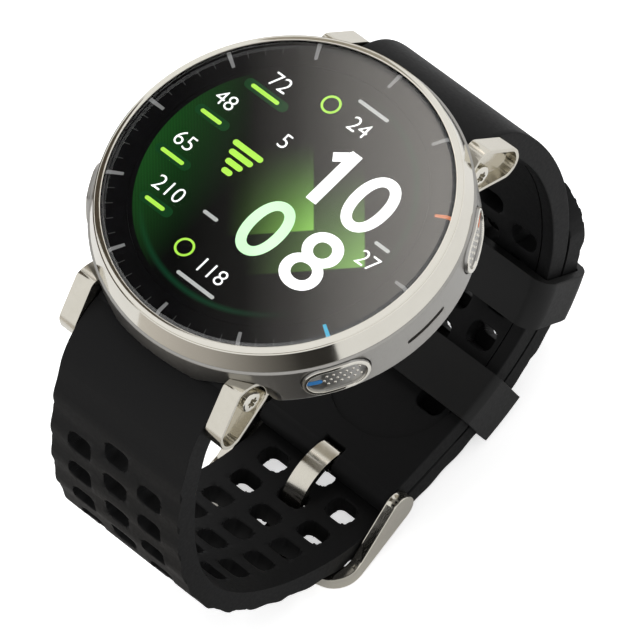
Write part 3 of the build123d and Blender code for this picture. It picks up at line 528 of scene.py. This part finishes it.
# ==== Display ====
# A round screen. Green light comes in from the left, two lit green panes stand behind large
# figures of the hour and minute, and small readings with their labels lie round them.
def pane_group():
    """A lit pane with a sharp right and lower edge that fades up and to the left."""
    edge_rise = 5
    fade_power = 1.6
    group = bpy.data.node_groups.new("lit_pane", "ShaderNodeTree")
    for name in ("Across", "Up", "Right", "Bottom", "Width", "Height"):
        group.interface.new_socket(name, in_out="INPUT", socket_type="NodeSocketFloat")
    group.interface.new_socket("Mask", in_out="OUTPUT", socket_type="NodeSocketFloat")
    inside = group.nodes.new("NodeGroupInput")
    outside = group.nodes.new("NodeGroupOutput")
    from_right = reckon(group, "SUBTRACT", inside.outputs["Right"], inside.outputs["Across"])
    from_bottom = reckon(group, "SUBTRACT", inside.outputs["Up"], inside.outputs["Bottom"])
    sharp_right = reckon(group, "MULTIPLY", from_right, edge_rise, clamp=True)
    sharp_bottom = reckon(group, "MULTIPLY", from_bottom, edge_rise, clamp=True)
    part_left = reckon(group, "DIVIDE", from_right, inside.outputs["Width"])
    part_up = reckon(group, "DIVIDE", from_bottom, inside.outputs["Height"])
    fade_left = reckon(group, "SUBTRACT", 1, part_left, clamp=True)
    fade_up = reckon(group, "SUBTRACT", 1, part_up, clamp=True)
    corner = reckon(group, "MULTIPLY", sharp_right, sharp_bottom)
    fades = reckon(group, "POWER", reckon(group, "MULTIPLY", fade_left, fade_up), fade_power)
    group.links.new(reckon(group, "MULTIPLY", corner, fades), outside.inputs["Mask"])
    return group


lit_pane = pane_group()
screen, screen_nodes, screen_links = new_material("screen")
screen_tree = screen.node_tree
screen_shader = screen_nodes["Principled BSDF"]
screen_shader.inputs["Base Color"].default_value = (0.003, 0.003, 0.003, 1)
screen_shader.inputs["Specular IOR Level"].default_value = 0.0
screen_where = screen_nodes.new("ShaderNodeTexCoord")


def screen_axes(turn):
    """Distances on the screen in millimetres, from its middle, turned by an angle."""
    lie = screen_nodes.new("ShaderNodeMapping")
    lie.vector_type = "TEXTURE"
    lie.inputs["Location"].default_value = dial
    lie.inputs["Rotation"].default_value = (0, 0, turn)
    lie.inputs["Scale"].default_value = (mm, mm, mm)
    split = screen_nodes.new("ShaderNodeSeparateXYZ")
    screen_links.new(screen_where.outputs["Object"], lie.inputs["Vector"])
    screen_links.new(lie.outputs["Vector"], split.inputs["Vector"])
    return split.outputs["X"], split.outputs["Y"]


def pane(right, bottom, width, height):
    """A lit pane, from its right and lower edges."""
    lit = screen_nodes.new("ShaderNodeGroup")
    lit.node_tree = lit_pane
    screen_links.new(seen_right, lit.inputs["Across"])
    screen_links.new(seen_up, lit.inputs["Up"])
    for name, value in (("Right", right), ("Bottom", bottom), ("Width", width), ("Height", height)):
        lit.inputs[name].default_value = value
    return lit.outputs["Mask"]


def add_light(base, mask, colour):
    """Lay one colour of light over what the screen shows already."""
    mix = screen_nodes.new("ShaderNodeMix")
    mix.data_type = "RGBA"
    mix.blend_type = "ADD"
    mix.inputs["B"].default_value = (*colour, 1)
    screen_links.new(mask, mix.inputs["Factor"])
    screen_links.new(base, mix.inputs["A"])
    return mix.outputs["Result"]


def add(*values):
    return reckon(screen_tree, "ADD", *values)


def times(*values):
    return reckon(screen_tree, "MULTIPLY", *values)


def rise(way, start, span):
    """Nothing up to a start, and from there up to full over a span."""
    return reckon(screen_tree, "DIVIDE", add(way, -start), span, clamp=True)


# The green glow fills the left side in fine stripes. Two thin arcs run along the rim.
seen_right, seen_up = screen_axes(card_turn)
dial_x, dial_y = screen_axes(0)
glow_power = 0.6
glow_lean = 0.05
stripe_waves = 12
stripe_depth = 0.12
arc_radius = 16.9
arc_sharpness = 1.8
left_side = rise(times(seen_right, -1), start=3, span=13)
high_left = rise(add(times(dial_x, -1), times(seen_up, -glow_lean)), start=5, span=13)
left_glow = times(high_left, reckon(screen_tree, "POWER", left_side, glow_power))
stripes = reckon(screen_tree, "SINE", times(add(dial_x, dial_y), stripe_waves))
striped_glow = times(left_glow, add(times(stripes, stripe_depth), 1 - stripe_depth))
from_middle = reckon(screen_tree, "SQRT", add(times(dial_x, dial_x), times(dial_y, dial_y)))
from_arc = reckon(screen_tree, "ABSOLUTE", add(from_middle, -arc_radius))
rim_band = reckon(screen_tree, "SUBTRACT", 1, times(from_arc, arc_sharpness), clamp=True)
low_arc = times(rim_band, rise(times(dial_y, -1), start=11, span=8))
high_arc = times(rim_band, rise(add(dial_x, dial_y), start=15, span=10))
high_pane = pane(right=4.4, bottom=-5.5, width=11, height=13)
low_pane = pane(right=10.6, bottom=-11.2, width=15, height=15)

dark = screen_nodes.new("ShaderNodeRGB")
dark.outputs["Color"].default_value = (0.0012, 0.0014, 0.0013, 1)
picture = dark.outputs["Color"]
for mask, colour in ((striped_glow, (0.010, 0.085, 0.012)), (high_pane, (0.24, 0.56, 0.08)),
                     (low_pane, (0.20, 0.46, 0.07)), (low_arc, (0.004, 0.055, 0.022)),
                     (high_arc, (0.002, 0.030, 0.012))):
    picture = add_light(picture, mask, colour)
screen_links.new(picture, screen_shader.inputs["Emission Color"])
screen_shader.inputs["Emission Strength"].default_value = 1.0

screen_radius = 17.9
screen_top = face_level + 0.012
screen_outline = ((0, face_level), (screen_radius, face_level), (screen_radius, screen_top), (0, screen_top))
screen_piece = turned("display_screen", screen_outline, edge=0)
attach(screen_piece, "watch")
wear(screen_piece, screen)
wear(nodes["display_panel"], print_black)

figure_level = face_level + 0.02
ink_middle = figure_level + ink_thick / 2


def figures(shape, text, middle, height, width=None, weight=0.0):
    """Flat figures laid on the screen, fitted to a height and, where given, a width."""
    curve = bpy.data.curves.new("figures", "FONT")
    curve.body = text
    curve.offset = weight
    curve.extrude = ink_thick / 2
    writing = bpy.data.objects.new("figures", curve)
    bpy.context.scene.collection.objects.link(writing)
    bpy.context.view_layer.update()
    flat = bpy.data.meshes.new_from_object(writing.evaluated_get(bpy.context.evaluated_depsgraph_get()))
    bpy.data.objects.remove(writing)
    low = Vector([min(vertex.co[axis] for vertex in flat.vertices) for axis in range(3)])
    high = Vector([max(vertex.co[axis] for vertex in flat.vertices) for axis in range(3)])
    tall = height / (high.y - low.y)
    wide = width / (high.x - low.x) if width else tall
    flat.transform(Matrix.Translation(dial + Vector((*middle, ink_middle)) * mm)
                   @ Matrix.Diagonal((wide * mm, tall * mm, mm, 1)) @ Matrix.Translation(-(low + high) / 2))
    shape.from_mesh(flat)
    bpy.data.meshes.remove(flat)


def on_screen(name, shape, material):
    """Finish a print that belongs to the display."""
    bmesh.ops.remove_doubles(shape, verts=shape.verts, dist=same_point / 2)
    bmesh.ops.recalc_face_normals(shape, faces=shape.faces)
    piece = place(name, shape)
    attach(piece, "watch")
    wear(piece, material)


figure_white = finish("figure_white", dark=(0.92, 0.93, 0.92), light=(0.98, 0.98, 0.98),
                      rough=(0.5, 0.6), specular=0.0, glow=1.0)
figure_green = finish("figure_green", dark=(0.30, 0.70, 0.28), light=(0.80, 0.95, 0.78),
                      rough=(0.5, 0.6), specular=0.0, glow=0.9, scale=90)
figure_grey = finish("figure_grey", dark=(0.34, 0.35, 0.34), light=(0.42, 0.43, 0.42),
                     rough=(0.5, 0.6), specular=0.0, glow=0.9)
figure_lime = finish("figure_lime", dark=(0.30, 0.62, 0.05), light=(0.44, 0.78, 0.10),
                     rough=(0.5, 0.6), specular=0.0, glow=0.9, scale=300)
strip_green = finish("strip_green", dark=(0.004, 0.030, 0.008), light=(0.006, 0.045, 0.012),
                     rough=(0.5, 0.6), specular=0.0, glow=0.9)

# The 1 is a stem with a slanted flag. The other large figures are set in type.
time_weight = 0.01
time_shape = bmesh.new()
for middle, long, wide, turn in (((3.7, 6.0), 8.4, 1.65, 90), ((2.55, 8.85), 2.6, 1.3, 38)):
    stroke_place = (Matrix.Translation(dial + Vector((*middle, ink_middle)) * mm)
                    @ Matrix.Rotation(math.radians(turn), 4, "Z"))
    printed_bar(time_shape, stroke_place, long, wide)
figures(time_shape, "0", (9.85, 6.0), height=8.6, width=5.8, weight=time_weight)
figures(time_shape, "8", (9.65, -4.3), height=8.8, width=5.7, weight=time_weight)
on_screen("time_figures", time_shape, figure_white)
tinted_shape = bmesh.new()
figures(tinted_shape, "0", (2.1, -4.5), height=8.6, width=5.6, weight=time_weight)
on_screen("tinted_figure", tinted_shape, figure_green)

reading_height = 2.1
reading_shape = bmesh.new()
readings = (("72", (-10.8, 11.8)), ("48", (-14.4, 5.8)), ("65", (-14.3, -1.6)), ("210", (-11.0, -7.8)),
            ("24", (1.2, 13.2)), ("118", (1.4, -13.0)), ("27", (15.0, 0.0)), ("5", (-4.6, 6.0)))
for reading, middle in readings:
    figures(reading_shape, reading, middle, reading_height, weight=-0.010)
on_screen("readings", reading_shape, figure_white)


def rounded_bar(shape, middle, long, wide, level=0.0):
    """A small bar with round ends, printed flat."""
    ends = []
    for side in (-1, 1):
        at = Vector((middle[0] + side * (long - wide) / 2, middle[1], figure_level + level)) * mm
        ring = bmesh.ops.create_circle(shape, segments=16, radius=wide / 2 * mm,
                                       matrix=Matrix.Translation(dial + at))
        ends += ring["verts"]
    bmesh.ops.convex_hull(shape, input=ends)
    lines = list({line for vertex in ends for line in vertex.link_edges})
    bmesh.ops.dissolve_limit(shape, angle_limit=0.01, verts=ends, edges=lines)


# Each label on the left is a lime bar on a dark strip. Four more bars, each longer than the last,
# make a rising sign.
label_lift = 0.012
label_shape = bmesh.new()
for middle, long in (((-11.2, 9.4), 4.6), ((-14.2, 2.9), 3.4), ((-14.0, -4.2), 3.8), ((-11.0, -10.4), 3.2)):
    rounded_bar(label_shape, middle, long, wide=0.55, level=label_lift)
for step in range(4):
    rounded_bar(label_shape, (-7.2, -1.6 + 1.25 * step), long=1.6 + 1.1 * step, wide=0.8)
on_screen("lime_labels", label_shape, figure_lime)

strip_shape = bmesh.new()
for middle, long in (((-11.0, 9.4), 7.0), ((-14.0, 2.9), 5.4), ((-13.9, -4.2), 5.6), ((-10.8, -10.4), 5.2)):
    rounded_bar(strip_shape, middle, long, wide=1.5)
on_screen("label_strips", strip_shape, strip_green)

bar_shape = bmesh.new()
for middle, long in (((0.9, 16.0), 5.0), ((0.9, -15.6), 6.2), ((15.0, 2.5), 2.4), ((-4.4, -7.4), 2.4)):
    rounded_bar(bar_shape, middle, long, wide=0.5)
on_screen("grey_labels", bar_shape, figure_grey)

icon_radius = 1.0
icon_wide = 0.3
icon_outline = ((0, 0, 0), (icon_wide, 0, 0), (icon_wide, 0, ink_thick), (0, 0, ink_thick))
icon_shape = bmesh.new()
for middle in ((-3.8, 13.4), (-3.8, -12.6)):
    at = dial + Vector((*middle, figure_level)) * mm
    start = at + Vector((icon_radius, 0, 0)) * mm
    corners = [icon_shape.verts.new(start + Vector(corner) * mm) for corner in icon_outline]
    edges = [icon_shape.edges.new((corners[k], corners[(k + 1) % 4])) for k in range(4)]
    bmesh.ops.spin(icon_shape, geom=corners + edges, cent=at, axis=(0, 0, 1), angle=math.tau, steps=48,
                   use_merge=True)
on_screen("ring_icons", icon_shape, figure_lime)


# ==== Lugs ====
# Four horns of steel, each forged by itself with a recessed outer face, finished with a soft
# polish and set into a pocket of the case.
soft_polish = finish("soft_polish", dark=(0.60, 0.572, 0.50), light=(0.68, 0.65, 0.575),
                     rough=(0.12, 0.19), metallic=1.0, scale=700)
for name in ("lug_12_left", "lug_12_right", "lug_6_left", "lug_6_right"):
    wear(rounded_copy(name, name + "_polished", edge=0.12), soft_polish)


# ==== Lug screws ====
# Domed steel screws with a six-lobed socket, one through each lug into the tube of the strap, so
# that the strap can be changed.
def star_screw(shape, centre, outwards):
    """One screw from the tip of its shank out to its head and down into the socket. Each ring has
    its radius, how far its lobes swing, and its height above the shoulder."""
    shank = ((0.7, 0, -2.5), (0.7, 0, 0))
    head = ((1.5, 0, 0), (1.5, 0, 1.05), (1.42, 0, 1.2), (1.2, 0, 1.3))
    socket = ((0.68, 0.13, 1.3), (0.62, 0.13, 0.5))
    lobes = 6
    upright = Matrix.Translation(centre) @ Matrix.Rotation(math.radians(90) * outwards, 4, "Y")
    tip = bmesh.ops.create_circle(shape, cap_ends=True, segments=48, radius=1, matrix=Matrix.Identity(4))
    verts = tip["verts"]
    angle_of = {vertex: math.atan2(vertex.co.y, vertex.co.x) for vertex in verts}
    edges = [line for line in shape.edges if line.verts[0] in verts and line.verts[1] in verts]
    for number, (radius, lobe, height) in enumerate(shank + head + socket):
        if number:
            step = bmesh.ops.extrude_edge_only(shape, edges=edges)["geom"]
            edges = [item for item in step if isinstance(item, bmesh.types.BMEdge)]
            drawn = [item for item in step if isinstance(item, bmesh.types.BMVert)]
            angles = []
            for vertex in drawn:
                ends = [line.other_vert(vertex) for line in vertex.link_edges]
                angles.append(next(angle_of[end] for end in ends if end in angle_of))
            angle_of = dict(zip(drawn, angles))
        for vertex, angle in angle_of.items():
            reach = radius + lobe * math.cos(lobes * angle)
            vertex.co = upright @ (Vector((reach * math.cos(angle), reach * math.sin(angle), height)) * mm)
    bmesh.ops.contextual_create(shape, geom=edges)


screw_across = 12.2
screw_along = 20.4
screw_drop = -9.0
screw_shape = bmesh.new()
for side in (-1, 1):
    for end in (-1, 1):
        screw_place = Vector((screw_across * side, screw_along * end, screw_drop))
        star_screw(screw_shape, dial + screw_place * mm, side)
bmesh.ops.recalc_face_normals(screw_shape, faces=screw_shape.faces)
ease(screw_shape, edge=0.03, segments=1)
screws = stand_for(even_shading(place("lug_screws_star", screw_shape)), "lug_screws")
wear(screws, polished_steel)


# ==== Buttons ====
# Stadium heads with a polished rim and a dished satin face, dotted for grip, each on a shaft that
# runs through a seal to its switch. The two on the right carry a small coloured inlay.
button_satin = finish("button_satin", dark=(0.34, 0.335, 0.32), light=(0.42, 0.41, 0.395),
                      rough=(0.28, 0.36), metallic=1.0, scale=2600)
inlay_orange = finish("inlay_orange", dark=(0.80, 0.16, 0.03), light=(0.86, 0.20, 0.04), rough=(0.4, 0.5))
inlay_blue = finish("inlay_blue", dark=(0.01, 0.15, 0.42), light=(0.015, 0.19, 0.50), rough=(0.35, 0.45))
rim_radius = 24.12
dot_radius = 0.2
dot_reach = 23.95
dot_step = 2
top_row = -5.27
row_step = 0.815
flattened = Matrix.Diagonal((0.5, 1, 1, 1))
first_dots = {"button_2": (23.8, 1), "button_4": (-23.8, -1), "button_8": (206, 1), "button_10": (154, -1)}
for name, (first_dot, way) in first_dots.items():
    head = rounded_copy(name, name + "_head", edge=0.1)
    wear(head, button_satin, polished_steel)
    for face in head.data.polygons:
        face.material_index = int((face.center.xy - dial.xy).length > rim_radius * mm)
    dot_shape = bmesh.new()
    for row in range(3):
        for column in range(6):
            angle = math.radians(first_dot + way * (dot_step * column + row % 2))
            spot = (Matrix.Translation(dial) @ Matrix.Rotation(angle, 4, "Z")
                    @ Matrix.Translation(Vector((dot_reach, 0, top_row - row_step * row)) * mm) @ flattened)
            bmesh.ops.create_uvsphere(dot_shape, u_segments=16, v_segments=8, radius=dot_radius * mm,
                                      matrix=spot)
    for face in dot_shape.faces:
        face.smooth = True
    dots = place(name + "_dots", dot_shape)
    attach(dots, name)
    wear(dots, polished_steel)
wear(nodes["button_2_inlay"], inlay_orange)
wear(nodes["button_4_inlay"], inlay_blue)
wear(nodes["button_seals"], seal_rubber)


# ==== Straps ====
# Two straps and two keepers of soft black rubber, moulded with a fine matt skin, eased edges and
# staggered holes. A metal tube in each strap end takes the lug screws.
# The strap rubber carries painted shade in its corners and creases, reaching 0.9 mm from them.
strap_rubber = finish("strap_rubber", dark=(0.0075, 0.0075, 0.0077), light=(0.0095, 0.0095, 0.0098),
                      rough=(0.48, 0.6), scale=2200, relief=0.006 * mm, specular=0.09, painted_crease_shade=0.9 * mm)
keeper_rubber = finish("keeper_rubber", dark=(0.009, 0.009, 0.009), light=(0.012, 0.012, 0.012),
                       rough=(0.45, 0.55), scale=2200, relief=0.004 * mm, specular=0.2)
for name in ("long_strap", "short_strap"):
    wear(rounded_copy(name, name + "_rubber", edge=0.28), strap_rubber)
for name in ("upper_keeper", "lower_keeper"):
    wear(rounded_copy(name, name + "_rubber", edge=0.2), keeper_rubber)
wear(nodes["strap_tubes"], small_metal)


# ==== Buckle ====
# A polished steel frame and tongue that both turn on a sprung bar in the end of the 12 o'clock
# strap.
wear(rounded_copy("buckle_frame", "buckle_frame_polished", edge=0.2), soft_polish)
wear(rounded_copy("buckle_tongue", "buckle_tongue_polished", edge=0.12), soft_polish)
wear(nodes["spring_bar"], small_metal)
